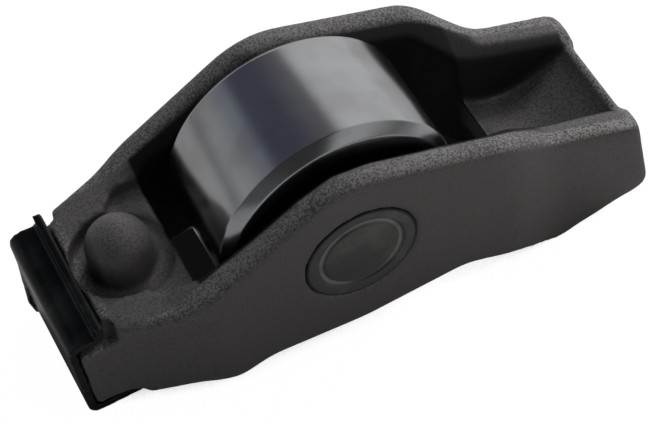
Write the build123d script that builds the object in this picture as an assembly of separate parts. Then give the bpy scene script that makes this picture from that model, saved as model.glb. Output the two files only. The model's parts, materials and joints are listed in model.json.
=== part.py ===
from build123d import *
import math
import os

# Roller finger follower: a cast valve train rocker arm with its cam roller and adjuster clip.
#
# Everything is drawn in the arm's own axes first: X runs from the pivot end to the valve end, Y is the
# roller axis, Z is up and the origin is the middle of the roller pin.  The finished pieces are then
# turned about Y, because the arm lies on the clip's bend and on the heels of its valve guide, and are
# set down with the surface under them at Z = 0 and the middle of their footprint at the origin.

# ---------------------------------------------------------------- driving dimensions, millimetres
# roller and its needle bearing
ROLLER_R = 8.8
ROLLER_WIDTH = 9.74
ROLLER_CHAMFER = 0.74
BORE_CHAMFER = 0.3
PIN_R = 4.1
PIN_CHAMFER = 0.2
STAKE_R = 2.95
STAKE_WIDTH = 0.5
STAKE_DEPTH = 0.22
NEEDLE_R = 0.75
NEEDLE_LENGTH = 9.3
NEEDLE_CHAMFER = 0.15
NEEDLE_COUNT = 20
NEEDLE_PLAY = 0.02
SIDE_PLAY = 0.33

# arm body, plan view
WAIST_HALF = 7.65
PIVOT_END_HALF = 5.6
VALVE_END_HALF = 6.1
PIVOT_END_X = -19.7
VALVE_END_X = 22.8
PIVOT_TAPER_START = -17.4
PIVOT_TAPER_END = -11.3
VALVE_TAPER_START = 11.7
VALVE_TAPER_END = 15.6
PLAN_BLEND = 1.2
END_ROUND = 0.8

# arm body, top line
TABLE_Z = 1.65
RISE_X = -12.6
CREST_X = -0.45
CREST_Z = 7.85
CREST_BLEND = 2.6
SHOULDER_X = 11.6
SHOULDER_Z = 3.25
STEP_FOOT_X = 15.7
STEP_FOOT_Z = -0.95
VALVE_TOP_Z = -3.6
TOP_BLEND = 1.2

# arm body, underside
CHIN_Z = -6.65
KNEE_X = -10.1
KNEE_Z = -7.4
KNEE_LENGTH = 2.4
ARCH_Z = -6.8
BELLY_X = -0.6
BELLY_Z = -7.65
BELLY_END_X = 7.4
BELLY_END_Z = -7.45
HIP_X = 11.8
HIP_Z = -9.3
HEEL_X = 15.5
HEEL_Z = -12.4
TOE_Z = -10.95
UNDER_BLEND = 0.8
RIM_R = 0.65

# pivot end
SOCKET_X = -14.1
SOCKET_Z = -3.8
SOCKET_R = 4.0
SOCKET_LEAD = 0.5
DOME_R = 2.3
DOME_Z = 2.2
MOAT_R = 3.55
MOAT_Z = 0.3
TONGUE_Z = 0.75
TONGUE_X = -13.7
TONGUE_HALF = 4.8
TONGUE_CORNER = 1.0

# roller window and valve end
WINDOW_BACK_X = -10.6
WINDOW_NECK_X = 10.5
WINDOW_FRONT_X = 13.2
WINDOW_CORNER_R = 0.8
PAD_X = 18.2
PAD_Z = -8.6
PAD_R = 14.0
RAMP_LOW_X = 16.3
RAMP_LOW_Z = -6.25
RAMP_NOSE_Z = -4.8
RAMP_END_X = 22.45
RAMP_END_Z = -4.2
RAMP_HALF = 3.55
RAMP_SAG = 0.45
RELIEF_START_X = -12.4
RELIEF = 0.7
RELIEF_END = 0.3
RELIEF_FADE_X = 18.0
GUIDE_HALF = 3.4

# adjuster clip, folded from spring steel strip
SHEET = 0.6
BEND_R = 0.25
CLIP_HALF = 5.33
CLIP_LEG_HALF = 4.6
CLIP_SHOULDER_Z = -5.8
CLIP_SEAT_Z = 0.7
SEAT_BEVEL = 0.3
SEAT_HALF = 4.4
SEAT_EDGE_Z = 0.3
SEAT_EDGE_X = -16.9
CLIP_LIP_Z = 2.3
CLIP_LIP_X = -17.6
CLIP_LEAN = 0.02
CLIP_PLAY = 0.05
FORK_Z = -7.8
FORK_SLOT_R = 3.15
FORK_PINCH = 0.2
FORK_REACH = 3.0
FORK_TIP_R = 0.7

# ---------------------------------------------------------------- sizes that follow from them
WINDOW_HALF = ROLLER_WIDTH / 2 + SIDE_PLAY
PITCH_R = PIN_R + NEEDLE_PLAY + NEEDLE_R
ROLLER_BORE_R = PITCH_R + NEEDLE_R + NEEDLE_PLAY
CLIP_FACE_X = PIVOT_END_X - CLIP_PLAY
CLIP_FOOT_X = CLIP_FACE_X - CLIP_LEAN
CLEAR = 2 * ROLLER_R
OVERCUT = 1.0


def line_through(corners):
    """A function of X: straight runs between corners (x, value, blend), each corner a parabola."""
    slopes = [(b[1] - a[1]) / (b[0] - a[0]) for a, b in zip(corners, corners[1:])]

    def value(x):
        result = corners[0][1] + slopes[0] * (x - corners[0][0])
        for (corner_x, _, blend), before, after in zip(corners[1:-1], slopes, slopes[1:]):
            past = x - corner_x
            if past >= blend:
                result += (after - before) * past
            elif past > -blend:
                result += (after - before) * (past + blend) ** 2 / (4 * blend)
        return result

    return value


TAIL_X = PIVOT_END_X - OVERCUT
SECTION_MIN_GAP = 0.35
SECTION_MAX_GAP = 1.3
TOP_CORNERS = [
    (TAIL_X, TABLE_Z, 0.0), (RISE_X, TABLE_Z, TOP_BLEND), (CREST_X, CREST_Z, CREST_BLEND),
    (SHOULDER_X, SHOULDER_Z, TOP_BLEND), (STEP_FOOT_X, STEP_FOOT_Z, TOP_BLEND),
    (VALVE_END_X, VALVE_TOP_Z, 0.0),
]
UNDER_CORNERS = [
    (TAIL_X, CHIN_Z, 0.0), (KNEE_X - KNEE_LENGTH, CHIN_Z, UNDER_BLEND), (KNEE_X, KNEE_Z, UNDER_BLEND),
    (KNEE_X + KNEE_LENGTH, ARCH_Z, UNDER_BLEND), (BELLY_X, BELLY_Z, UNDER_BLEND),
    (BELLY_END_X, BELLY_END_Z, UNDER_BLEND),
    (HIP_X, HIP_Z, UNDER_BLEND), (HEEL_X, HEEL_Z, UNDER_BLEND), (VALVE_END_X, TOE_Z, 0.0),
]
WIDTH_CORNERS = [
    (TAIL_X, PIVOT_END_HALF, 0.0), (PIVOT_TAPER_START, PIVOT_END_HALF, PLAN_BLEND),
    (PIVOT_TAPER_END, WAIST_HALF, PLAN_BLEND), (VALVE_TAPER_START, WAIST_HALF, PLAN_BLEND),
    (VALVE_TAPER_END, VALVE_END_HALF, PLAN_BLEND), (VALVE_END_X, VALVE_END_HALF, 0.0),
]
top_line = line_through(TOP_CORNERS)
under_line = line_through(UNDER_CORNERS)
INNER_CORNERS = [
    (RELIEF_START_X, TONGUE_HALF, 0.0), (WINDOW_BACK_X, WINDOW_HALF, TOP_BLEND),
    (WINDOW_NECK_X, WINDOW_HALF, TOP_BLEND), (WINDOW_FRONT_X, RAMP_HALF, TOP_BLEND),
    (VALVE_END_X, RAMP_HALF, 0.0),
]
RELIEF_CORNERS = [
    (RELIEF_START_X, 0.0, 0.0), (WINDOW_BACK_X, RELIEF, 0.0), (RELIEF_FADE_X, RELIEF, 0.0),
    (VALVE_END_X, RELIEF_END, 0.0),
]
half_width = line_through(WIDTH_CORNERS)
inner_half = line_through(INNER_CORNERS)
relief_depth = line_through(RELIEF_CORNERS)


def stations():
    """X of the cross-sections that the casting is lofted through, close together where it bends."""
    last = VALVE_END_X - END_ROUND
    marks = {TAIL_X, last}
    for corner_x, _, blend in TOP_CORNERS[1:-1] + UNDER_CORNERS[1:-1] + WIDTH_CORNERS[1:-1]:
        marks.update((corner_x - blend, corner_x, corner_x + blend))
    kept = [TAIL_X]
    for x in sorted(mark for mark in marks if TAIL_X < mark <= last):
        if x - kept[-1] < SECTION_MIN_GAP:
            continue
        steps = math.ceil((x - kept[-1]) / SECTION_MAX_GAP)
        start = kept[-1]
        kept += [start + (x - start) * step / steps for step in range(1, steps + 1)]
    return kept


def cross_section(x, inset):
    """The rounded rectangle of the arm at X, drawn in on every side by the inset."""
    top = top_line(x) - inset
    under = under_line(x) + inset
    width = 2 * (half_width(x) - inset)
    outline = RectangleRounded(width, top - under, RIM_R)
    return Plane(origin=(x, 0, (top + under) / 2), x_dir=(0, 1, 0), z_dir=(1, 0, 0)) * outline


def arm_blank():
    """The outer form of the casting, lofted from its tail to its rounded valve end."""
    sections = [cross_section(x, 0.0) for x in stations()]
    for turn in (30, 60, 90):
        x = VALVE_END_X - END_ROUND * (1 - math.sin(math.radians(turn)))
        sections.append(cross_section(x, END_ROUND * (1 - math.cos(math.radians(turn)))))
    return loft(sections)


def prism_y(corners, half_width):
    """A straight-sided solid from corner points in the XZ plane, the same on both sides of Y = 0."""
    face = make_face(Polyline(*[Vector(x, 0, z) for x, z in corners], close=True))
    return extrude(face, amount=half_width, dir=(0, 1, 0), both=True)


def prism_z(corners, low, high):
    """A straight-sided solid from corner points in the XY plane between two heights."""
    face = make_face(Polyline(*[Vector(x, y) for x, y in corners], close=True))
    return Pos(0, 0, low) * extrude(face, amount=high - low, dir=(0, 0, 1))


def standing(radius, low, high):
    """A round bar on the socket's axis between two heights."""
    return Pos(SOCKET_X, 0, (low + high) / 2) * Cylinder(radius, high - low)


def roller_window():
    """The opening that the roller turns in, drawn in at its front to the width between the guides."""
    corners = [
        (WINDOW_BACK_X, -WINDOW_HALF), (WINDOW_NECK_X, -WINDOW_HALF), (WINDOW_FRONT_X, -RAMP_HALF),
        (WINDOW_FRONT_X, RAMP_HALF), (WINDOW_NECK_X, WINDOW_HALF), (WINDOW_BACK_X, WINDOW_HALF),
    ]
    window = prism_z(corners, -CLEAR, CLEAR)
    return fillet(window.edges().filter_by(Axis.Z).group_by(Axis.X)[0], WINDOW_CORNER_R)


def ramp_cut():
    """The space between the walls over the valve end, down to a hollow sloping floor."""
    floor = Spline(
        (WINDOW_FRONT_X, 0, RAMP_NOSE_Z), (RAMP_LOW_X, 0, RAMP_LOW_Z),
        ((RAMP_LOW_X + RAMP_END_X) / 2, 0, (RAMP_LOW_Z + RAMP_END_Z) / 2 - RAMP_SAG),
        (RAMP_END_X, 0, RAMP_END_Z),
    )
    past_x = VALVE_END_X + OVERCUT
    before_x = WINDOW_FRONT_X - OVERCUT
    rest = Polyline(
        (RAMP_END_X, 0, RAMP_END_Z), (RAMP_END_X, 0, -CLEAR), (past_x, 0, -CLEAR), (past_x, 0, CLEAR),
        (before_x, 0, CLEAR), (before_x, 0, RAMP_NOSE_Z), (WINDOW_FRONT_X, 0, RAMP_NOSE_Z),
    )
    return extrude(make_face([*floor.edges(), *rest.edges()]), amount=RAMP_HALF, dir=(0, 1, 0), both=True)


def edge_relief():
    """What is taken off the inner top edges of the walls, by a slanted cut that follows their line."""
    sections = []
    for x in stations():
        if x > RELIEF_START_X + SECTION_MIN_GAP:
            depth = relief_depth(x)
            low = top_line(x) - depth - SECTION_MIN_GAP / 2
            high = top_line(x) + OVERCUT
            narrow = inner_half(x) - SECTION_MIN_GAP / 2
            wide = inner_half(x) + depth + OVERCUT
            outline = Polyline((-narrow, low), (narrow, low), (wide, high), (-wide, high), close=True)
            sections.append(
                Plane(origin=(x, 0, 0), x_dir=(0, 1, 0), z_dir=(1, 0, 0)) * make_face(outline)
            )
    return loft(sections)


def valve_channel():
    """The space between the guides under the crowned pad that presses on the valve's tip."""
    back_x = WINDOW_FRONT_X - OVERCUT
    end_x = VALVE_END_X + OVERCUT
    high = PAD_Z + OVERCUT
    box = Pos((back_x + end_x) / 2, 0, (high - CLEAR) / 2) * Box(
        end_x - back_x, 2 * GUIDE_HALF, high + CLEAR
    )
    crown = Pos(PAD_X, 0, PAD_Z + PAD_R) * Rot(90, 0, 0) * Cylinder(PAD_R, 3 * GUIDE_HALF)
    return box - crown


def socket_cut():
    """The ball socket for the lash adjuster, open downwards, with a coned mouth."""
    mouth = CHIN_Z
    cone = Pos(SOCKET_X, 0, mouth + SOCKET_LEAD / 2) * Cone(
        SOCKET_R + SOCKET_LEAD, SOCKET_R, SOCKET_LEAD
    )
    lead = standing(SOCKET_R, mouth - OVERCUT, SOCKET_Z)
    return Pos(SOCKET_X, 0, SOCKET_Z) * Sphere(SOCKET_R) + lead + cone


def pivot_pocket():
    """The round moat about the socket's dome and the low floor between it and the roller."""
    moat = standing(MOAT_R, MOAT_Z, CLEAR)
    front_x = WINDOW_BACK_X + OVERCUT
    tongue = prism_z(
        [
            (TONGUE_X, -TONGUE_HALF + TONGUE_CORNER), (TONGUE_X + TONGUE_CORNER, -TONGUE_HALF),
            (front_x, -TONGUE_HALF), (front_x, TONGUE_HALF),
            (TONGUE_X + TONGUE_CORNER, TONGUE_HALF), (TONGUE_X, TONGUE_HALF - TONGUE_CORNER),
        ],
        TONGUE_Z, CLEAR,
    )
    return moat + tongue


def dome():
    """The rounded boss over the socket."""
    return standing(DOME_R, MOAT_Z - SOCKET_LEAD, DOME_Z) + Pos(SOCKET_X, 0, DOME_Z) * Sphere(DOME_R)


def clip_seat():
    """The flat that the clip's upper leg lies on, lower at its sides, and the face behind its web."""
    seat_back = CLIP_LIP_X + CLIP_PLAY
    start_x = TAIL_X - OVERCUT
    seat = Pos((start_x + seat_back) / 2, 0, CLIP_SEAT_Z + CLEAR / 2) * Box(
        seat_back - start_x, CLEAR, CLEAR
    )
    end = Pos(PIVOT_END_X - CLEAR / 2, 0, 0) * Box(CLEAR, CLEAR, 2 * CLEAR)
    bevel = prism_y(
        [
            (start_x, CLIP_SEAT_Z + OVERCUT), (PIVOT_END_X + SEAT_BEVEL, CLIP_SEAT_Z + OVERCUT),
            (PIVOT_END_X + SEAT_BEVEL, CLIP_SEAT_Z), (PIVOT_END_X, CLIP_SEAT_Z - SEAT_BEVEL),
            (start_x, CLIP_SEAT_Z - SEAT_BEVEL),
        ],
        CLEAR,
    )
    edge = Pos((start_x + SEAT_EDGE_X) / 2, SEAT_HALF + CLEAR / 2, SEAT_EDGE_Z + CLEAR / 2) * Box(
        SEAT_EDGE_X - start_x, CLEAR, CLEAR
    )
    return seat + end + bevel + edge + mirror(edge, about=Plane.XZ)


def arm_body():
    """The investment casting: two walls joined by the pivot block and the valve pad."""
    body = arm_blank() - clip_seat() - roller_window() - ramp_cut() - edge_relief()
    body = body - valve_channel() - pivot_pocket() + dome() - socket_cut()
    return body - Rot(90, 0, 0) * Cylinder(PIN_R, 2 * CLEAR)


def fork_slot():
    """The mouth of the clip's fork, round at the adjuster's neck and pinched towards its tips."""
    reach = FORK_REACH + 1
    mouth = FORK_SLOT_R - FORK_PINCH
    corners = [
        (SOCKET_X, -FORK_SLOT_R), (SOCKET_X + reach, -mouth), (SOCKET_X + reach, mouth),
        (SOCKET_X, FORK_SLOT_R),
    ]
    low = FORK_Z - SHEET
    high = FORK_Z + 2 * SHEET
    return prism_z(corners, low, high) + standing(FORK_SLOT_R, low, high)


def clip_blank_sides():
    """What is sheared off the strip on both sides, below the shoulders of the clip's web."""
    high = CLIP_SHOULDER_Z
    low = FORK_Z - SHEET
    wide = CLIP_HALF + 1
    front = SOCKET_X + FORK_REACH
    back = CLIP_FOOT_X - 2 * SHEET
    corners = [
        (back, CLIP_LEG_HALF), (front - FORK_TIP_R, CLIP_LEG_HALF), (front + 1, CLIP_LEG_HALF - FORK_TIP_R),
        (front + 1, wide), (back, wide),
    ]
    left = prism_z(corners, low, high)
    return left + mirror(left, about=Plane.XZ)


def adjuster_clip():
    """The folded spring clip: lip, upper leg, web and the fork that holds the adjuster's neck."""
    path = FilletPolyline(
        (CLIP_LIP_X, 0, CLIP_LIP_Z), (CLIP_LIP_X, 0, CLIP_SEAT_Z + CLIP_PLAY),
        (CLIP_FACE_X, 0, CLIP_SEAT_Z + CLIP_PLAY), (CLIP_FOOT_X, 0, FORK_Z + SHEET),
        (SOCKET_X + FORK_REACH, 0, FORK_Z + SHEET),
        radius=[BEND_R + SHEET, BEND_R, BEND_R],
    )
    strip = make_face(offset(path, SHEET, side=Side.RIGHT).edges())
    folded = extrude(strip, amount=CLIP_HALF, dir=(0, 1, 0), both=True)
    return folded - clip_blank_sides() - fork_slot()


def roller_pin():
    """The bearing pin, staked by a ring groove in each end."""
    half = WAIST_HALF
    bar = Rot(90, 0, 0) * chamfer(Cylinder(PIN_R, 2 * half).edges(), PIN_CHAMFER)
    ring = Cylinder(STAKE_R + STAKE_WIDTH / 2, 2 * STAKE_DEPTH) - Cylinder(
        STAKE_R - STAKE_WIDTH / 2, 2 * STAKE_DEPTH
    )
    for side in (-1, 1):
        bar -= Pos(0, side * half, 0) * Rot(90, 0, 0) * ring
    return bar


def cam_roller():
    """The roller that runs on the cam, ground outside and bored for its needles."""
    half = ROLLER_WIDTH / 2
    section = Polyline(
        (ROLLER_BORE_R, 0, half - BORE_CHAMFER), (ROLLER_BORE_R + BORE_CHAMFER, 0, half),
        (ROLLER_R - ROLLER_CHAMFER, 0, half), (ROLLER_R, 0, half - ROLLER_CHAMFER),
        (ROLLER_R, 0, ROLLER_CHAMFER - half), (ROLLER_R - ROLLER_CHAMFER, 0, -half),
        (ROLLER_BORE_R + BORE_CHAMFER, 0, -half), (ROLLER_BORE_R, 0, BORE_CHAMFER - half),
        close=True,
    )
    return Rot(90, 0, 0) * revolve(make_face(section), Axis.Z)


def needle(index):
    """One needle of the full complement that runs between the pin and the roller."""
    angle = 360 / NEEDLE_COUNT * index
    bar = chamfer(Cylinder(NEEDLE_R, NEEDLE_LENGTH).edges(), NEEDLE_CHAMFER)
    return Rot(0, angle, 0) * Pos(PITCH_R, 0, 0) * Rot(90, 0, 0) * bar


def lowest(tilt):
    """Height of the clip's bend and of the arm's heels below the pin once the arm is tilted."""
    sine = math.sin(math.radians(tilt))
    cosine = math.cos(math.radians(tilt))
    bend_x = CLIP_FOOT_X + BEND_R
    bend_z = FORK_Z + SHEET + BEND_R
    bend = bend_x * sine + bend_z * cosine - BEND_R - SHEET
    steps = 400
    run = (VALVE_END_X - END_ROUND - HIP_X) / steps
    heel = min(
        (HIP_X + run * step) * sine + under_line(HIP_X + run * step) * cosine
        for step in range(steps + 1)
    )
    return bend, heel


def resting_tilt():
    """The angle at which the bend and the heels come down to the same height."""
    low, high = -20.0, 20.0
    while high - low > 1e-6:
        middle = (low + high) / 2
        bend, heel = lowest(middle)
        if bend > heel:
            low = middle
        else:
            high = middle
    return (low + high) / 2


REST_TILT = resting_tilt()
REST_LIFT = -min(lowest(REST_TILT))


def pieces():
    """Every sub-part by the name of its node, in the arm's own axes."""
    made = {
        "arm_body": arm_body(),
        "adjuster_clip": adjuster_clip(),
        "roller_pin": roller_pin(),
        "cam_roller": cam_roller(),
    }
    for index in range(NEEDLE_COUNT):
        made[f"needle_{index + 1:02d}"] = needle(index)
    return made


def laid_down(made):
    """Turn and lift every piece to the way the follower lies, centred over the origin."""
    turned = {name: Rot(0, -REST_TILT, 0) * shape for name, shape in made.items()}
    low_x = min(shape.bounding_box().min.X for shape in turned.values())
    high_x = max(shape.bounding_box().max.X for shape in turned.values())
    move = Pos(-(low_x + high_x) / 2, 0, REST_LIFT)
    return {name: move * shape for name, shape in turned.items()}


os.makedirs("parts", exist_ok=True)
for node, solid in laid_down(pieces()).items():
    export_step(solid, f"parts/{node}.step")
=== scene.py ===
"""Dresses the roller finger follower: cast arm, spring clip, staked pin, ground roller and needles.

Every object is in metres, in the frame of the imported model.  Sizes that a maker would read in
millimetres are written in millimetres and turned into metres by MM.
"""

import json
import logging
import math
from contextlib import contextmanager
from dataclasses import dataclass, field
from enum import Enum
from typing import Any, Iterator, Union

import bmesh
import bpy
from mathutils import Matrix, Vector

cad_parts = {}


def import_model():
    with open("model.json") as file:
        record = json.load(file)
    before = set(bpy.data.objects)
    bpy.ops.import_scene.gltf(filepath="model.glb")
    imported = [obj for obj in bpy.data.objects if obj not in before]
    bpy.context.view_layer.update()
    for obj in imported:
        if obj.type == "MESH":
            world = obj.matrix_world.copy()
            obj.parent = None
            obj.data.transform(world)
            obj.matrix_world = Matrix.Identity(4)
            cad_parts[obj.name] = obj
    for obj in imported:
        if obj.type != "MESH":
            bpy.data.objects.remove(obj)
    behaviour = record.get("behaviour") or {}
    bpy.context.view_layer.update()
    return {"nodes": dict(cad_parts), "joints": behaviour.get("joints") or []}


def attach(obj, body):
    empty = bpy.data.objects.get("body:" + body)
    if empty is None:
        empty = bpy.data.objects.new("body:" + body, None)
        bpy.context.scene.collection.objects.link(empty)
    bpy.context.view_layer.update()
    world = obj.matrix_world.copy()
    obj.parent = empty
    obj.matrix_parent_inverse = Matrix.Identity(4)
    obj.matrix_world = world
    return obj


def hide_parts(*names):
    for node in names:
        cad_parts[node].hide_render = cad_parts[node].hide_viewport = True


MM = 0.001
DOUBLES = 0.002 * MM
LOG = logging.getLogger("follower")
Colour = tuple[float, float, float]
Place = tuple[float, float, float]
Range = tuple[float, float]


# ---------------------------------------------------------------- shader maths


class Amount:
    """A number in a node tree; arithmetic on it adds Math nodes."""

    def __init__(self, shader: "Shader", socket: bpy.types.NodeSocket) -> None:
        """Wrap an output socket.

        Args:
            shader: the tree that the socket belongs to.
            socket: the output that carries the number.
        """
        self.shader = shader
        self.socket = socket

    def _math(self, operation: str, *operands: "Operand") -> "Amount":
        """One Math node on these operands.

        Args:
            operation: the name of the node's operation.
            operands: its inputs in order.

        Returns:
            The node's result.
        """
        inputs = dict(enumerate(operands))
        node = self.shader.add("ShaderNodeMath", {"operation": operation}, inputs)
        return Amount(self.shader, node.outputs[0])

    def __add__(self, other: "Operand") -> "Amount":
        """Sum."""
        return self._math("ADD", self, other)

    __radd__ = __add__

    def __sub__(self, other: "Operand") -> "Amount":
        """Difference."""
        return self._math("SUBTRACT", self, other)

    def __rsub__(self, other: "Operand") -> "Amount":
        """Difference from a number."""
        return self._math("SUBTRACT", other, self)

    def __mul__(self, other: "Operand") -> "Amount":
        """Product."""
        return self._math("MULTIPLY", self, other)

    __rmul__ = __mul__

    def __pow__(self, other: "Operand") -> "Amount":
        """Power."""
        return self._math("POWER", self, other)

    def angle_to(self, other: "Operand") -> "Amount":
        """The angle whose tangent is this over the other, in radians."""
        return self._math("ARCTAN2", self, other)

    def step(self, low: float, high: float) -> "Amount":
        """A smooth rise from 0 at low to 1 at high.

        Args:
            low: where the rise starts.
            high: where it ends.

        Returns:
            The eased value.
        """
        node = self.shader.add(
            "ShaderNodeMapRange", {"interpolation_type": "SMOOTHSTEP"}, {0: self, 1: low, 2: high}
        )
        return Amount(self.shader, node.outputs[0])


Operand = Union[Amount, float]


class Shader:
    """A node tree of a material or the world, built with a few plain calls."""

    def __init__(self, tree: bpy.types.NodeTree) -> None:
        """Empty a tree and start on it.

        Args:
            tree: the node tree to fill.
        """
        self.tree = tree
        tree.nodes.clear()

    def add(
        self,
        kind: str,
        settings: dict[str, Any] | None = None,
        inputs: dict[Any, Any] | None = None,
    ) -> bpy.types.Node:
        """Add one node.

        Args:
            kind: the node's type.
            settings: its own properties, set before its inputs; "stops" fills a colour ramp.
            inputs: a value, an Amount or an output socket for each input's name or number.

        Returns:
            The node.
        """
        node = self.tree.nodes.new(kind)
        for name, value in (settings or {}).items():
            if name == "stops":
                self._fill_ramp(node.color_ramp, value)
            else:
                setattr(node, name, value)
        for name, value in (inputs or {}).items():
            if isinstance(value, Amount):
                value = value.socket
            if isinstance(value, bpy.types.NodeSocket):
                self.tree.links.new(value, node.inputs[name])
            else:
                node.inputs[name].default_value = value
        return node

    @staticmethod
    def _fill_ramp(ramp: bpy.types.ColorRamp, stops: list[tuple[float, Colour]]) -> None:
        """Give a colour ramp its stops."""
        while len(ramp.elements) < len(stops):
            ramp.elements.new(1.0)
        for element, (place, colour) in zip(ramp.elements, stops):
            element.position = place
            element.color = (*colour, 1.0)

    def place(self, millimetres: float, stretch: Place = (1.0, 1.0, 1.0)) -> bpy.types.NodeSocket:
        """The piece's own coordinates, one unit for each stretch of so many millimetres.

        Args:
            millimetres: the length of a unit.
            stretch: how much longer a unit is along X, Y and Z.

        Returns:
            A vector output.
        """
        coordinates = self.add("ShaderNodeTexCoord")
        scale = tuple(1.0 / (millimetres * MM * along) for along in stretch)
        mapping = self.add(
            "ShaderNodeMapping", None, {"Vector": coordinates.outputs["Object"], "Scale": scale}
        )
        return mapping.outputs[0]

    def split(self, vector: bpy.types.NodeSocket) -> tuple[Amount, ...]:
        """The X, Y and Z of a vector output.

        Args:
            vector: the output to take apart.

        Returns:
            The three numbers.
        """
        node = self.add("ShaderNodeSeparateXYZ", None, {0: vector})
        return tuple(Amount(self, output) for output in node.outputs)

    def noise(
        self, millimetres: float, detail: float = 2.0, stretch: Place = (1.0, 1.0, 1.0)
    ) -> Amount:
        """Soft random variation.

        Args:
            millimetres: about how large its features are.
            detail: how many finer layers it has.
            stretch: how much longer the features are along X, Y and Z.

        Returns:
            The variation, about 0 to 1.
        """
        node = self.add(
            "ShaderNodeTexNoise", None,
            {"Vector": self.place(millimetres, stretch), "Scale": 1.0, "Detail": detail},
        )
        return Amount(self, node.outputs[0])

    def blend(self, factor: Operand, first: Any, second: Any) -> bpy.types.NodeSocket:
        """A colour between two colours.

        Args:
            factor: 0 for the first, 1 for the second.
            first: a colour or an output that carries one.
            second: a colour or an output that carries one.

        Returns:
            A colour output.
        """
        ends = {6: first, 7: second}
        inputs = {key: (*end, 1.0) if isinstance(end, tuple) else end for key, end in ends.items()}
        node = self.add("ShaderNodeMix", {"data_type": "RGBA"}, {0: factor, **inputs})
        return node.outputs[2]

    def bump(self, height: Amount, millimetres: float) -> bpy.types.NodeSocket:
        """A normal bent by a height.

        Args:
            height: the height, 0 to 1.
            millimetres: how high 1 is.

        Returns:
            A normal output.
        """
        node = self.add(
            "ShaderNodeBump", None,
            {"Height": height, "Distance": millimetres * MM, "Strength": 1.0},
        )
        return node.outputs[0]


def surface(name: str, **sockets: Any) -> tuple[bpy.types.Material, Shader, bpy.types.Node]:
    """A new material with one Principled shader.

    Args:
        name: the material's name.
        sockets: constants for the shader's inputs, spaces written as underscores.

    Returns:
        The material, its tree and its Principled node.
    """
    material = bpy.data.materials.new(name)
    material.use_nodes = True
    shader = Shader(material.node_tree)
    inputs = {key.replace("_", " "): value for key, value in sockets.items()}
    principled = shader.add("ShaderNodeBsdfPrincipled", None, inputs)
    shader.add("ShaderNodeOutputMaterial", None, {"Surface": principled.outputs[0]})
    return material, shader, principled


def drive(shader: Shader, principled: bpy.types.Node, **outputs: Any) -> None:
    """Link what varies over the surface into the Principled shader.

    Args:
        shader: the material's tree.
        principled: its Principled node.
        outputs: an Amount or output for each input's name, spaces written as underscores.
    """
    for key, value in outputs.items():
        socket = value.socket if isinstance(value, Amount) else value
        shader.tree.links.new(socket, principled.inputs[key.replace("_", " ")])


# ---------------------------------------------------------------- finishes


@dataclass(frozen=True)
class BlastedCasting:
    """Investment-cast steel, blasted and phosphated: nearly black, with a fine grain that turns
    bright on upward faces, partly wear and partly painted highlight; the window, the steep faces at
    the valve end and the left-facing faces at the pivot end are painted with shade.
    """

    name: str = "blasted_casting"
    hollow: Colour = (0.105, 0.098, 0.097)
    ground: Colour = (0.145, 0.136, 0.134)
    # The colour of the painted highlight on the grain.
    glint: Colour = (0.34, 0.33, 0.325)
    # The colour of the painted shade.
    painted_shade: Colour = (0.009, 0.009, 0.011)
    window_x: Range = (-11.5, 13.0)
    valve_x: Range = (12.5, 21.5)
    pivot_x: Range = (-17.5, -11.0)
    window_half: Range = (5.75, 6.1)
    neck_x: Range = (10.0, 14.8)
    neck_step: float = 0.9
    slope: float = 0.126
    # Where the painted highlight grows stronger towards the valve end.
    lit_to_right_x: Range = (2.0, 19.0)
    lit_to_right_share: float = 0.75
    run_in: float = 0.3
    hollow_grain: Range = (0.34, 0.56)
    sheen_grain: Range = (0.52, 0.74)
    sheen_up: Range = (0.3, 0.8)
    # How much of the painted highlight is taken off between the walls, as painted shade.
    shade_between_walls: float = 0.8
    steep_up: Range = (0.68, 0.95)
    steep_share: float = 0.85
    away_left: Range = (0.7, 0.95)
    away_share: float = 0.8
    grain: float = 0.15
    depth: float = 0.018

    def material(self) -> bpy.types.Material:
        """The finish as a material."""
        material, shader, principled = surface(self.name, Metallic=0.3)
        grain = shader.noise(self.grain, 3.0)
        lumps = shader.noise(self.grain * 3.1, 2.0)
        patches = shader.noise(5.5, 3.0)
        height = grain * 0.6 + lumps * 0.4
        facing = shader.add("ShaderNodeTexCoord").outputs["Normal"]
        rightward, _, upward = shader.split(facing)
        shade = shader.blend(grain.step(*self.hollow_grain), self.hollow, self.ground)
        window, valve, pivot = self._between_walls(shader)
        across = shader.split(shader.place(1.0))[0]
        # Painted light: the highlight on upward faces grows stronger towards the valve end.
        lit_to_right = across.step(*self.lit_to_right_x) * self.lit_to_right_share + self.lit_to_right_share
        # Painted highlight on the grain of upward faces, partly wear; weaker between the walls at
        # both ends, as painted shade.
        worn = (grain + patches * 0.25).step(*self.sheen_grain)
        wear_and_sheen = worn * upward.step(*self.sheen_up) * lit_to_right
        wear_and_sheen = wear_and_sheen * (1.0 - (valve + pivot) * self.shade_between_walls)
        shade = shader.blend(wear_and_sheen, shade, self.glint)
        # Painted shade: near black in the window, on steep faces at the valve end and on left-facing
        # faces at the pivot end.
        steep_shade = valve * (1.0 - upward.step(*self.steep_up)) * self.steep_share
        left_side_shade = pivot * (0.0 - rightward).step(*self.away_left) * self.away_share
        painted_shade = window + steep_shade * (1.0 - window) + left_side_shade
        shade = shader.blend(painted_shade, shade, self.painted_shade)
        drive(
            shader, principled,
            Base_Color=shade,
            Roughness=0.40 + patches * 0.2 + grain * 0.1,
            Normal=shader.bump(height, self.depth),
        )
        return material

    def _between_walls(self, shader: Shader) -> tuple[Amount, ...]:
        """How far a place is between the walls: in the window, at the valve end, at the pivot end.

        Args:
            shader: the material's tree.

        Returns:
            The three shares.
        """
        x, y, z = shader.split(shader.place(1.0))
        along = x + z * self.slope
        narrowed = along.step(*self.neck_x) * self.neck_step
        width = (y * y) ** 0.5 + narrowed
        between = 1.0 - width.step(*self.window_half)
        run = self.run_in
        return tuple(
            between * along.step(low, low + run) * (1.0 - along.step(high - run, high))
            for low, high in (self.window_x, self.valve_x, self.pivot_x)
        )


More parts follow.
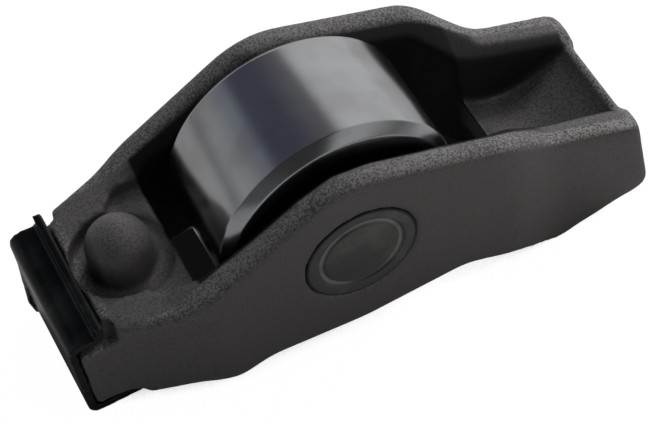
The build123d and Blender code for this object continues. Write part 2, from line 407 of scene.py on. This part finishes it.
@dataclass(frozen=True)
class SpringSteel:
    """Blackened spring strip: smooth, dark, a little oily, with faint rolling marks and a painted
    highlight along its sharp edges.
    """

    name: str = "black_spring_steel"
    dark: Colour = (0.008, 0.009, 0.009)
    worn: Colour = (0.028, 0.030, 0.030)
    # The colour of the painted highlight on sharp edges.
    edge_highlight: Colour = (0.17, 0.175, 0.17)
    smeared: Range = (0.45, 0.75)
    sharp: Range = (0.53, 0.62)
    edge_highlight_share: float = 0.7

    def material(self) -> bpy.types.Material:
        """The finish as a material."""
        material, shader, principled = surface(self.name, Metallic=0.6)
        rolling = shader.noise(0.12, 2.0, (1.0, 22.0, 1.0))
        smears = shader.noise(2.4, 3.0)
        # Painted highlight: pointiness lightens the sharp edges of the strip.
        edges = Amount(shader, shader.add("ShaderNodeNewGeometry").outputs["Pointiness"])
        shade = shader.blend(smears.step(*self.smeared), self.dark, self.worn)
        drive(
            shader, principled,
            Base_Color=shader.blend(edges.step(*self.sharp) * self.edge_highlight_share, shade, self.edge_highlight),
            Roughness=0.20 + smears * 0.25,
            Normal=shader.bump(rolling * 0.5 + smears * 0.5, 0.008),
        )
        return material


@dataclass(frozen=True)
class GroundSteel:
    """Hardened bearing steel, ground round and polished."""

    name: str
    colour: Colour = (0.50, 0.51, 0.53)
    stain: Colour = (0.42, 0.42, 0.43)
    roughness: float = 0.13

    def material(self) -> bpy.types.Material:
        """The finish as a material."""
        material, shader, principled = surface(self.name, Metallic=1.0)
        grinding = shader.noise(0.05, 2.0, (60.0, 1.0, 60.0))
        haze = shader.noise(3.5, 3.0)
        drive(
            shader, principled,
            Base_Color=shader.blend(haze.step(0.35, 0.7), self.colour, self.stain),
            Roughness=self.roughness + haze * 0.08 + grinding * 0.05,
            Normal=shader.bump(grinding, 0.0012),
        )
        return material


@dataclass(frozen=True)
class StakedSteel:
    """The ends of the pin: pressed and staked, then phosphated with the arm, with a painted highlight
    ring over the staking groove.
    """

    name: str = "staked_pin_end"
    ground: Colour = (0.088, 0.084, 0.083)
    wear_and_sheen: Colour = (0.14, 0.136, 0.132)
    # The colour of the painted highlight ring.
    bright: Colour = (0.29, 0.29, 0.28)
    seam: Colour = (0.02, 0.02, 0.02)
    middle: tuple[float, float] = (-1.815, 10.187)
    ring: Range = (2.72, 3.22)
    rim: Range = (3.88, 4.0)
    ring_edge: float = 0.2

    def material(self) -> bpy.types.Material:
        """The finish as a material."""
        material, shader, principled = surface(self.name, Metallic=0.35)
        grain = shader.noise(0.3, 3.0)
        patches = shader.noise(3.0, 2.0)
        x, _, z = shader.split(shader.place(1.0))
        across = x - self.middle[0]
        height = z - self.middle[1]
        away = (across * across + height * height) ** 0.5
        # Painted highlight: a broken bright ring over the staking groove.
        low, high = self.ring
        inside = away.step(low, low + self.ring_edge)
        ring = inside * (1.0 - away.step(high - self.ring_edge, high)) * patches.step(0.3, 0.6)
        shade = shader.blend((patches + grain * 0.3).step(0.62, 0.9), self.ground, self.wear_and_sheen)
        shade = shader.blend(ring, shade, self.bright)
        shade = shader.blend(away.step(*self.rim), shade, self.seam)
        drive(
            shader, principled,
            Base_Color=shade,
            Roughness=0.36 + patches * 0.2,
            Normal=shader.bump(grain, 0.012),
        )
        return material


# ---------------------------------------------------------------- bench tools


def select_only(piece: bpy.types.Object) -> None:
    """Make one object the only selected and the active one.

    Args:
        piece: the object.
    """
    bpy.ops.object.select_all(action="DESELECT")
    piece.select_set(True)
    bpy.context.view_layer.objects.active = piece


@contextmanager
def editing(piece: bpy.types.Object) -> Iterator[None]:
    """Edit mode on one object, with all of it selected at the start.

    Args:
        piece: the object to edit.
    """
    select_only(piece)
    bpy.ops.object.mode_set(mode="EDIT")
    bpy.ops.mesh.select_all(action="SELECT")
    yield
    bpy.ops.object.mode_set(mode="OBJECT")


class Part(Enum):
    """What of a mesh a place test picks."""

    VERTICES = "VERT"
    FACES = "FACE"


def pick(piece: bpy.types.Object, part: Part, test: Any) -> None:
    """Select the vertices or faces of the object in edit mode that pass a test of their place.

    Args:
        piece: the object being edited.
        part: vertices or faces.
        test: a function of the place, and for faces also of the normal.
    """
    bpy.ops.mesh.select_mode(type=part.value)
    bpy.ops.mesh.select_all(action="DESELECT")
    mesh = bmesh.from_edit_mesh(piece.data)
    if part is Part.VERTICES:
        for vertex in mesh.verts:
            vertex.select = bool(test(vertex.co))
    else:
        for face in mesh.faces:
            face.select = bool(test(face.calc_center_median(), face.normal))
    mesh.select_flush_mode()
    bmesh.update_edit_mesh(piece.data)


def apply_modifier(piece: bpy.types.Object, kind: str, **settings: Any) -> None:
    """Add a modifier, set it and apply it.

    Args:
        piece: the object to change.
        kind: the modifier's type.
        settings: its properties.
    """
    select_only(piece)
    modifier = piece.modifiers.new(kind.title(), kind)
    for name, value in settings.items():
        setattr(modifier, name, value)
    bpy.ops.object.modifier_apply(modifier=modifier.name)


def place_at(piece: bpy.types.Object, place: Vector) -> None:
    """Move a finished mesh to its place, leaving the object at the origin.

    Args:
        piece: the object to move.
        place: where its origin goes, in metres.
    """
    select_only(piece)
    piece.location = place
    bpy.ops.object.transform_apply(location=True, rotation=True, scale=True)


def copy_of_node(node: bpy.types.Object, name: str) -> bpy.types.Object:
    """A free copy of a CAD node's mesh, with its loose triangles joined.

    Args:
        node: the node to copy.
        name: the name of the copy.

    Returns:
        The new object.
    """
    copy = bpy.data.objects.new(name, node.data.copy())
    bpy.context.scene.collection.objects.link(copy)
    copy.data.materials.clear()
    with editing(copy):
        bpy.ops.mesh.remove_doubles(threshold=DOUBLES)
    return copy


@dataclass(frozen=True)
class ArmAxes:
    """The axes that the arm is drawn in: X along it, Y along the pin, Z up, in millimetres.

    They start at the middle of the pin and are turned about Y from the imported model's axes, because
    the arm rests on its clip and its heels.
    """

    centre: Vector
    tilt: float = 7.185

    def set_up(self, piece: bpy.types.Object) -> None:
        """Move a mesh drawn in the arm's axes and millimetres to its place in the model."""
        select_only(piece)
        piece.location = self.centre
        piece.rotation_euler = (0.0, -math.radians(self.tilt), 0.0)
        piece.scale = (MM, MM, MM)
        bpy.ops.object.transform_apply(location=True, rotation=True, scale=True)

    def loft(self, name: str, sections: list[list[Place]]) -> bpy.types.Object:
        """A closed solid through sections that all have the same number of corners.

        Args:
            name: the name of the object.
            sections: the corners of each section, in order round it.

        Returns:
            The new object.
        """
        body = bmesh.new()
        rings = [[body.verts.new(corner) for corner in section] for section in sections]
        body.faces.new(rings[0])
        body.faces.new(list(reversed(rings[-1])))
        for before, after in zip(rings, rings[1:]):
            for here in range(len(before)):
                body.faces.new((before[here - 1], before[here], after[here], after[here - 1]))
        mesh = bpy.data.meshes.new(name)
        body.to_mesh(mesh)
        body.free()
        piece = bpy.data.objects.new(name, mesh)
        bpy.context.scene.collection.objects.link(piece)
        with editing(piece):
            bpy.ops.mesh.normals_make_consistent(inside=False)
        self.set_up(piece)
        return piece

    def prism(
        self, name: str, outline: list[tuple[float, float]], low: float, high: float
    ) -> bpy.types.Object:
        """A straight-sided solid from an outline in the XZ plane, between two places along Y."""
        return self.loft(name, [[(x, y, z) for x, z in outline] for y in (low, high)])


def join_tool(piece: bpy.types.Object, tool: bpy.types.Object, operation: str) -> None:
    """Cut a tool out of a piece, or join it on, and throw the tool away.

    Args:
        piece: the object to change.
        tool: the solid that is cut out or joined.
        operation: the boolean modifier's operation.
    """
    apply_modifier(piece, "BOOLEAN", operation=operation, solver="EXACT", object=tool)
    bpy.data.objects.remove(tool)


def soften(piece: bpy.types.Object, voxel: float, rounds: int) -> None:
    """Turn a crisp solid into a casting with its edges rounded off.

    Args:
        piece: the object to change.
        voxel: the size of the new faces in millimetres.
        rounds: how often the surface is relaxed.
    """
    apply_modifier(piece, "REMESH", mode="VOXEL", voxel_size=voxel * MM, use_smooth_shade=True)
    apply_modifier(piece, "SMOOTH", factor=0.5, iterations=rounds)
    select_only(piece)
    bpy.ops.object.shade_smooth()


def dress(
    piece: bpy.types.Object, finish: bpy.types.Material, body: str, slot: str, *nodes: str
) -> None:
    """Give a finished piece its material and its body, and hide the CAD nodes that it replaces.

    Args:
        piece: the finished object.
        finish: its material.
        body: the CAD body that it moves with.
        slot: the record's material slot; not used.
        nodes: the CAD nodes that it replaces.
    """
    piece.data.materials.clear()
    piece.data.materials.append(finish)
    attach(piece, body)
    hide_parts(*nodes)
    LOG.info("%s: %d faces", piece.name, len(piece.data.polygons))


# ---------------------------------------------------------------- sub-assemblies


@dataclass
class ArmCasting:
    """The cast arm, with the soft edges and grain of a blasted casting."""

    voxel: float = 0.23
    relaxing: int = 7
    side: float = 9.0
    clear: float = 12.0
    notch: tuple[tuple[float, float], ...] = ((-22.0, -5.25), (-16.55, -5.8), (-16.0, -6.8))
    valve_top: tuple[tuple[float, float], ...] = ((15.0, -0.35), (15.9, -1.05), (23.5, -4.15))
    relief: tuple[tuple[float, float, float, float], ...] = (
        (-11.2, 2.36, 5.2, 0.05), (-8.2, 3.89, 5.2, 0.95), (-3.0, 6.5, 5.2, 1.0),
        (-0.45, 7.27, 5.2, 1.0), (2.2, 6.82, 5.2, 1.0), (10.2, 3.79, 5.2, 1.1),
        (11.6, 3.05, 4.6, 1.55), (12.8, 2.0, 3.8, 1.8), (14.6, 0.2, 3.5, 1.45),
        (16.2, -1.1, 3.5, 0.95), (19.0, -2.3, 3.5, 0.8), (23.5, -4.1, 3.5, 0.8),
    )
    underside: float = -5.6
    sag: float = 0.13
    end_x: float = 20.8
    end_middle: float = -6.5
    end_lean: float = 0.09
    end_run: float = 1.8
    relief_over: float = 1.5
    finish: BlastedCasting = field(default_factory=BlastedCasting)

    def _trim(self, casting: bpy.types.Object, axes: ArmAxes) -> None:
        """Notch the chin over the clip's leg and bring the tops of the valve end down.

        Args:
            casting: the casting to change.
            axes: the arm's axes.
        """
        foot = [(self.notch[-1][0], -self.clear), (self.notch[0][0], -self.clear)]
        notch = axes.prism("notch", [*self.notch, *foot], -self.side, self.side)
        join_tool(casting, notch, "DIFFERENCE")
        over = [(self.valve_top[-1][0], self.clear), (self.valve_top[0][0], self.clear)]
        wedge = axes.prism("wedge", [*self.valve_top, *over], -self.side, self.side)
        join_tool(casting, wedge, "DIFFERENCE")

    def _relieve(self, casting: bpy.types.Object, axes: ArmAxes) -> None:
        """Slant off the inner top edges of both walls.

        Args:
            casting: the casting to change.
            axes: the arm's axes.
        """
        over = self.relief_over
        sections = []
        for x, top, half, depth in self.relief:
            wide = half + depth + over
            sections.append(
                [
                    (x, -half, top - depth), (x, half, top - depth),
                    (x, wide, top + over), (x, -wide, top + over),
                ]
            )
        join_tool(casting, axes.loft("relief", sections), "DIFFERENCE")

    def _settle(self, casting: bpy.types.Object, axes: ArmAxes) -> None:
        """Bring the underside down by what the relaxing has taken off it, and lean the valve end.

        Args:
            casting: the casting to change.
            axes: the arm's axes.
        """
        turn = math.radians(axes.tilt)
        up = Vector((-math.sin(turn), 0.0, math.cos(turn)))
        out = Vector((math.cos(turn), 0.0, math.sin(turn)))
        for vertex in casting.data.vertices:
            height = (vertex.co - axes.centre).dot(up) / MM
            along = (vertex.co - axes.centre).dot(out) / MM
            share = min(max(self.underside - height, 0.0), 1.0)
            vertex.co -= up * (self.sag * MM * share * share * (3 - 2 * share))
            share = min(max((along - self.end_x) / self.end_run, 0.0), 1.0)
            vertex.co += out * (self.end_lean * (self.end_middle - height) * MM * share)
            vertex.co.z = max(vertex.co.z, 0.0)

    def build(self, nodes: dict[str, bpy.types.Object], axes: ArmAxes) -> None:
        """Make the casting and put it in place of its node.

        Args:
            nodes: the CAD nodes by name.
            axes: the arm's axes.
        """
        casting = copy_of_node(nodes["arm_body"], "arm_casting")
        self._trim(casting, axes)
        self._relieve(casting, axes)
        soften(casting, self.voxel, self.relaxing)
        self._settle(casting, axes)
        dress(casting, self.finish.material(), "arm", "cast_body", "arm_body")


@dataclass
class SpringClip:
    """The folded clip, with the slightly rolled edges of sheared strip."""

    voxel: float = 0.13
    relaxing: int = 2
    half: float = 5.33
    leg_half: float = 4.6
    shoulder: float = -3.9
    outer: float = -20.35
    sheet: float = 0.6
    slit: float = 0.25
    ear_top: float = -1.4
    ear_knee: float = -6.2
    ear_end: float = -7.55
    ear_lean: float = 0.38
    ear_tuck: float = 0.4
    shear_back: float = 1.0
    shear_front: float = 3.0
    shear_foot: float = -12.0
    shear_side: float = 9.0
    finish: SpringSteel = field(default_factory=SpringSteel)

    def _shape(self, clip: bpy.types.Object, axes: ArmAxes) -> None:
        """Shear both sides up to the shoulders and add the ear beside the web's lower half.

        Args:
            clip: the clip to change.
            axes: the arm's axes.
        """
        back, front = self.outer - self.shear_back, self.outer + self.shear_front
        foot = self.shear_foot
        sheared = [(back, self.shoulder), (front, self.shoulder), (front, foot), (back, foot)]
        for low, high in ((self.leg_half, self.shear_side), (-self.shear_side, -self.leg_half)):
            join_tool(clip, axes.prism("shear", sheared, low, high), "DIFFERENCE")
        out, inn = self.outer, self.outer + self.sheet
        ear = [
            (inn, self.ear_top), (out, self.ear_top), (out - self.ear_lean, self.ear_knee),
            (out - self.ear_lean * self.ear_tuck, self.ear_end),
            (inn - self.ear_lean * self.ear_tuck, self.ear_end),
            (inn - self.ear_lean, self.ear_knee),
        ]
        join_tool(clip, axes.prism("ear", ear, self.leg_half + self.slit, self.half), "UNION")

    def build(self, nodes: dict[str, bpy.types.Object], axes: ArmAxes) -> None:
        """Make the clip and put it in place of its node.

        Args:
            nodes: the CAD nodes by name.
            axes: the arm's axes.
        """
        clip = copy_of_node(nodes["adjuster_clip"], "spring_clip")
        self._shape(clip, axes)
        soften(clip, self.voxel, self.relaxing)
        dress(clip, self.finish.material(), "arm", "spring_clip", "adjuster_clip")


@dataclass
class BearingPin:
    """The pin, its ends chamfered and staked with a ring groove."""

    radius: float = 4.1
    half_length: float = 7.64
    chamfer: float = 0.22
    steps: int = 144
    land: float = 0.85
    groove_wall: float = 0.14
    groove_floor: float = 0.26
    groove_depth: float = 0.2
    rim_bevel: float = 0.09
    bevel_angle: float = 40.0
    smooth_angle: float = 35.0
    finish: StakedSteel = field(default_factory=StakedSteel)

    def _stake(self, pin: bpy.types.Object, side: float) -> None:
        """Cut the ring groove into one end.

        Args:
            pin: the pin being edited, its axis along Y.
            side: 1 for the end at +Y, -1 for the other.
        """
        pick(pin, Part.FACES, lambda centre, normal: normal.y * side > 0.99)
        bpy.ops.mesh.inset(thickness=self.land * MM, depth=0.0)
        bpy.ops.mesh.inset(thickness=self.groove_wall * MM, depth=-self.groove_depth * MM)
        bpy.ops.mesh.inset(thickness=self.groove_floor * MM, depth=0.0)
        bpy.ops.mesh.inset(thickness=self.groove_wall * MM, depth=self.groove_depth * MM)

    def build(self, centre: Vector) -> None:
        """Make the pin and put it in place of its node.

        Args:
            centre: the middle of the pin.
        """
        bpy.ops.object.select_all(action="DESELECT")
        bpy.ops.mesh.primitive_cylinder_add(
            vertices=self.steps, radius=self.radius * MM, depth=2 * self.half_length * MM,
            rotation=(math.pi / 2, 0, 0),
        )
        pin = bpy.context.object
        pin.name = "bearing_pin"
        bpy.ops.object.transform_apply(location=True, rotation=True, scale=True)
        with editing(pin):
            for side in (1.0, -1.0):
                self._stake(pin, side)
        apply_modifier(
            pin, "BEVEL", width=self.rim_bevel * MM, segments=3,
            limit_method="ANGLE", angle_limit=math.radians(self.bevel_angle),
        )
        place_at(pin, centre)
        bpy.ops.object.shade_smooth_by_angle(angle=math.radians(self.smooth_angle))
        dress(pin, self.finish.material(), "arm", "pin_steel", "roller_pin")


@dataclass
class CamRoller:
    """The roller, spun from its section."""

    radius: float = 8.8
    bore: float = 5.64
    half_width: float = 4.87
    chamfer: float = 0.74
    softened: float = 0.12
    steps: int = 224
    smooth_angle: float = 20.0
    doubles: float = 0.001
    finish: GroundSteel = field(default_factory=lambda: GroundSteel("ground_roller_steel"))

    def build(self, centre: Vector) -> None:
        """Make the roller and put it in place of its node.

        Args:
            centre: the middle of the roller.
        """
        bpy.ops.object.select_all(action="DESELECT")
        bpy.ops.mesh.primitive_plane_add(size=1.0)
        roller = bpy.context.object
        roller.name = "ground_roller"
        roller.scale = ((self.radius - self.bore) * MM, 2 * self.half_width * MM, 1.0)
        roller.location = ((self.radius + self.bore) / 2 * MM, 0, 0)
        bpy.ops.object.transform_apply(location=True, rotation=True, scale=True)
        rim = (self.radius - self.chamfer / 2) * MM
        with editing(roller):
            pick(roller, Part.VERTICES, lambda place: place.x > rim)
            bpy.ops.mesh.bevel(offset=self.chamfer * MM, segments=1, affect="VERTICES")
            bpy.ops.mesh.select_all(action="SELECT")
            bpy.ops.mesh.bevel(offset=self.softened * MM, segments=3, affect="VERTICES")
            bpy.ops.mesh.select_all(action="SELECT")
            bpy.ops.mesh.delete(type="ONLY_FACE")
            bpy.ops.mesh.select_all(action="SELECT")
            bpy.ops.mesh.spin(
                steps=self.steps, angle=math.tau, center=(0, 0, 0), axis=(0, 1, 0), dupli=False
            )
            bpy.ops.mesh.select_all(action="SELECT")
            bpy.ops.mesh.remove_doubles(threshold=self.doubles * MM)
            bpy.ops.mesh.normals_make_consistent(inside=False)
        place_at(roller, centre)
        bpy.ops.object.shade_smooth_by_angle(angle=math.radians(self.smooth_angle))
        dress(roller, self.finish.material(), "roller", "ground_steel", "cam_roller")


@dataclass
class NeedleSet:
    """The needles between the pin and the roller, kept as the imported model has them."""

    finish: GroundSteel = field(
        default_factory=lambda: GroundSteel("needle_bearing_steel", roughness=0.1)
    )

    def build(self, nodes: dict[str, bpy.types.Object]) -> None:
        """Give every needle its finish.

        Args:
            nodes: the CAD nodes by name.
        """
        material = self.finish.material()
        needles = [node for name, node in nodes.items() if name.startswith("needle_")]
        for needle in needles:
            needle.data.materials.clear()
            needle.data.materials.append(material)
        LOG.info("needles: %d", len(needles))


# ---------------------------------------------------------------- studio


@dataclass(frozen=True)
class Softbox:
    """One flat lamp."""

    name: str
    place: Place
    aim: Place
    width: float
    height: float
    radiance: float
    colour: Colour = (1.0, 1.0, 1.0)

    def hang(self) -> None:
        """Put the lamp in the scene, facing its aim."""
        lamp = bpy.data.lights.new(self.name, "AREA")
        lamp.shape = "RECTANGLE"
        lamp.size = self.width
        lamp.size_y = self.height
        lamp.energy = self.radiance * math.pi * self.width * self.height
        lamp.color = self.colour
        holder = bpy.data.objects.new(self.name, lamp)
        holder.location = self.place
        ahead = Vector(self.aim) - Vector(self.place)
        holder.rotation_euler = ahead.to_track_quat("-Z", "Y").to_euler()
        holder.visible_camera = False
        holder.visible_glossy = False
        bpy.context.scene.collection.objects.link(holder)


@dataclass
class Studio:
    """Pale floor, surroundings that give the roller its bands, one soft lamp and the camera."""

    floor_half: float = 3.0
    floor_colour: Colour = (0.80, 0.79, 0.78)
    floor_glow: float = 0.88
    floor_reach: float = 0.02
    under_middle: float = 1.5
    under_x: Range = (11.4, 15.8)
    under_front: Range = (-4.6, 0.0)
    under_back: Range = (6.8, 8.2)
    under_colour: Colour = (0.004, 0.004, 0.004)
    white: Colour = (1.0, 1.0, 1.0)
    glow_strength: float = 1.12
    shade_samples: int = 8
    shade_step: Range = (0.08, 0.22)
    front_to_back: Range = (-0.3, 0.15)
    camera_place: Place = (-0.042279, -0.086275, 0.127801)
    camera_turn: Place = (38.006, 0.739, -26.704)
    lens: float = 122.125
    sensor: float = 36.0
    room: tuple[tuple[float, Colour], ...] = (
        (-115, (0.15, 0.15, 0.15)), (-92, (0.18, 0.18, 0.18)), (-77, (0.38, 0.38, 0.38)),
        (-65, (0.32, 0.33, 0.33)), (-56, (0.24, 0.25, 0.27)), (-47, (0.22, 0.24, 0.28)),
        (-38, (0.068, 0.075, 0.100)), (-12, (0.068, 0.072, 0.10)), (6, (0.135, 0.135, 0.15)),
        (18, (0.155, 0.155, 0.16)), (21, (0.56, 0.56, 0.56)), (30, (0.68, 0.68, 0.68)),
        (95, (0.72, 0.72, 0.72)), (108, (0.45, 0.45, 0.45)), (125, (0.24, 0.24, 0.24)),
    )
    room_front: tuple[tuple[float, Colour], ...] = (
        (-110, (0.08, 0.08, 0.08)), (-70, (0.10, 0.10, 0.10)), (-35, (0.045, 0.045, 0.045)),
        (8, (0.045, 0.045, 0.045)), (16, (0.10, 0.10, 0.10)), (21, (0.44, 0.45, 0.44)),
        (52, (0.44, 0.45, 0.44)), (68, (0.30, 0.31, 0.30)), (78, (0.14, 0.14, 0.14)),
        (92, (0.32, 0.32, 0.32)),
    )
    softboxes: tuple[Softbox, ...] = (
        Softbox("key_softbox", (0.30, 0.28, 0.42), (0.0, 0.0, 0.01), 0.16, 0.16, 17.0),
    )

    def _lay_floor(self) -> None:
        """The floor: near white to the camera, with a contact shadow, and dark by place below.

        The darkening under the follower is wider than its true shadow.
        """
        bpy.ops.object.select_all(action="DESELECT")
        bpy.ops.mesh.primitive_plane_add(size=2 * self.floor_half)
        floor = bpy.context.object
        floor.name = "studio_floor"
        material = bpy.data.materials.new("pale_floor")
        material.use_nodes = True
        shader = Shader(material.node_tree)
        matt = shader.add("ShaderNodeBsdfDiffuse", None, {"Color": (*self.floor_colour, 1.0)})
        across, along, _ = shader.split(shader.place(1.0))
        aside = across - self.under_middle
        beneath = 1.0 - (aside * aside).step(*(reach**2 for reach in self.under_x))
        beneath = beneath * along.step(*self.under_front) * (1.0 - along.step(*self.under_back))
        open_sky = shader.add(
            "ShaderNodeAmbientOcclusion",
            {"samples": self.shade_samples}, {"Distance": self.floor_reach},
        )
        lit = (1.0 - beneath) * Amount(shader, open_sky.outputs["AO"]).step(*self.shade_step)
        bright = shader.blend(lit, self.under_colour, self.white)
        glow = shader.add(
            "ShaderNodeEmission", None, {"Color": bright, "Strength": self.glow_strength}
        )
        seen = Amount(shader, shader.add("ShaderNodeLightPath").outputs["Is Camera Ray"])
        mixed = shader.add(
            "ShaderNodeMixShader", None,
            {0: seen * (1.0 - lit * (1 - self.floor_glow)), 1: matt.outputs[0], 2: glow.outputs[0]},
        )
        shader.add("ShaderNodeOutputMaterial", None, {"Surface": mixed.outputs[0]})
        floor.data.materials.append(material)

    def _paint_surroundings(self) -> None:
        """White to the camera, and a room with one great window to everything else."""
        world = bpy.data.worlds.new("studio_world")
        bpy.context.scene.world = world
        world.use_nodes = True
        shader = Shader(world.node_tree)
        path = shader.add("ShaderNodeLightPath")
        direction = shader.add("ShaderNodeTexCoord").outputs["Generated"]
        across, along, height = shader.split(direction)
        lean = across.angle_to(height) * (1 / math.pi)
        front, back = (
            shader.add(
                "ShaderNodeValToRGB",
                {"stops": [(0.5 + angle / 360, colour) for angle, colour in wall]},
                {0: lean * 0.5 + 0.5},
            ).outputs[0]
            for wall in (self.room_front, self.room)
        )
        room = shader.blend(along.step(*self.front_to_back), front, back)
        seen = Amount(shader, path.outputs["Is Camera Ray"]) + Amount(
            shader, path.outputs["Is Transmission Ray"]
        )
        colour = shader.blend(seen, room, self.white)
        background = shader.add("ShaderNodeBackground", None, {"Color": colour, "Strength": 1.0})
        shader.add("ShaderNodeOutputWorld", None, {"Surface": background.outputs[0]})

    def _stand_camera(self) -> None:
        """The camera, above the pivot end and to the left of the follower."""
        camera = bpy.data.cameras.new("studio_camera")
        camera.lens = self.lens
        camera.sensor_width = self.sensor
        camera.clip_start = 0.001
        camera.clip_end = 20.0
        holder = bpy.data.objects.new("studio_camera", camera)
        holder.location = self.camera_place
        holder.rotation_euler = [math.radians(turn) for turn in self.camera_turn]
        bpy.context.scene.collection.objects.link(holder)
        bpy.context.scene.camera = holder

    def build(self) -> None:
        """Set up the whole studio."""
        self._lay_floor()
        self._paint_surroundings()
        for softbox in self.softboxes:
            softbox.hang()
        self._stand_camera()
        bpy.context.scene.view_settings.view_transform = "Standard"


# ---------------------------------------------------------------- the follower


def main() -> None:
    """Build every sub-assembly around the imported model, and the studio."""
    logging.basicConfig(level=logging.INFO, format="%(name)s: %(message)s")
    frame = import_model()
    nodes = frame["nodes"]
    joint = next(joint for joint in frame["joints"] if joint["name"] == "roller_spin")
    centre = Vector(joint["pos_m"])
    axes = ArmAxes(centre)
    ArmCasting().build(nodes, axes)
    SpringClip().build(nodes, axes)
    BearingPin().build(centre)
    CamRoller().build(centre)
    NeedleSet().build(nodes)
    Studio().build()


if __name__ == "__main__":
    main()
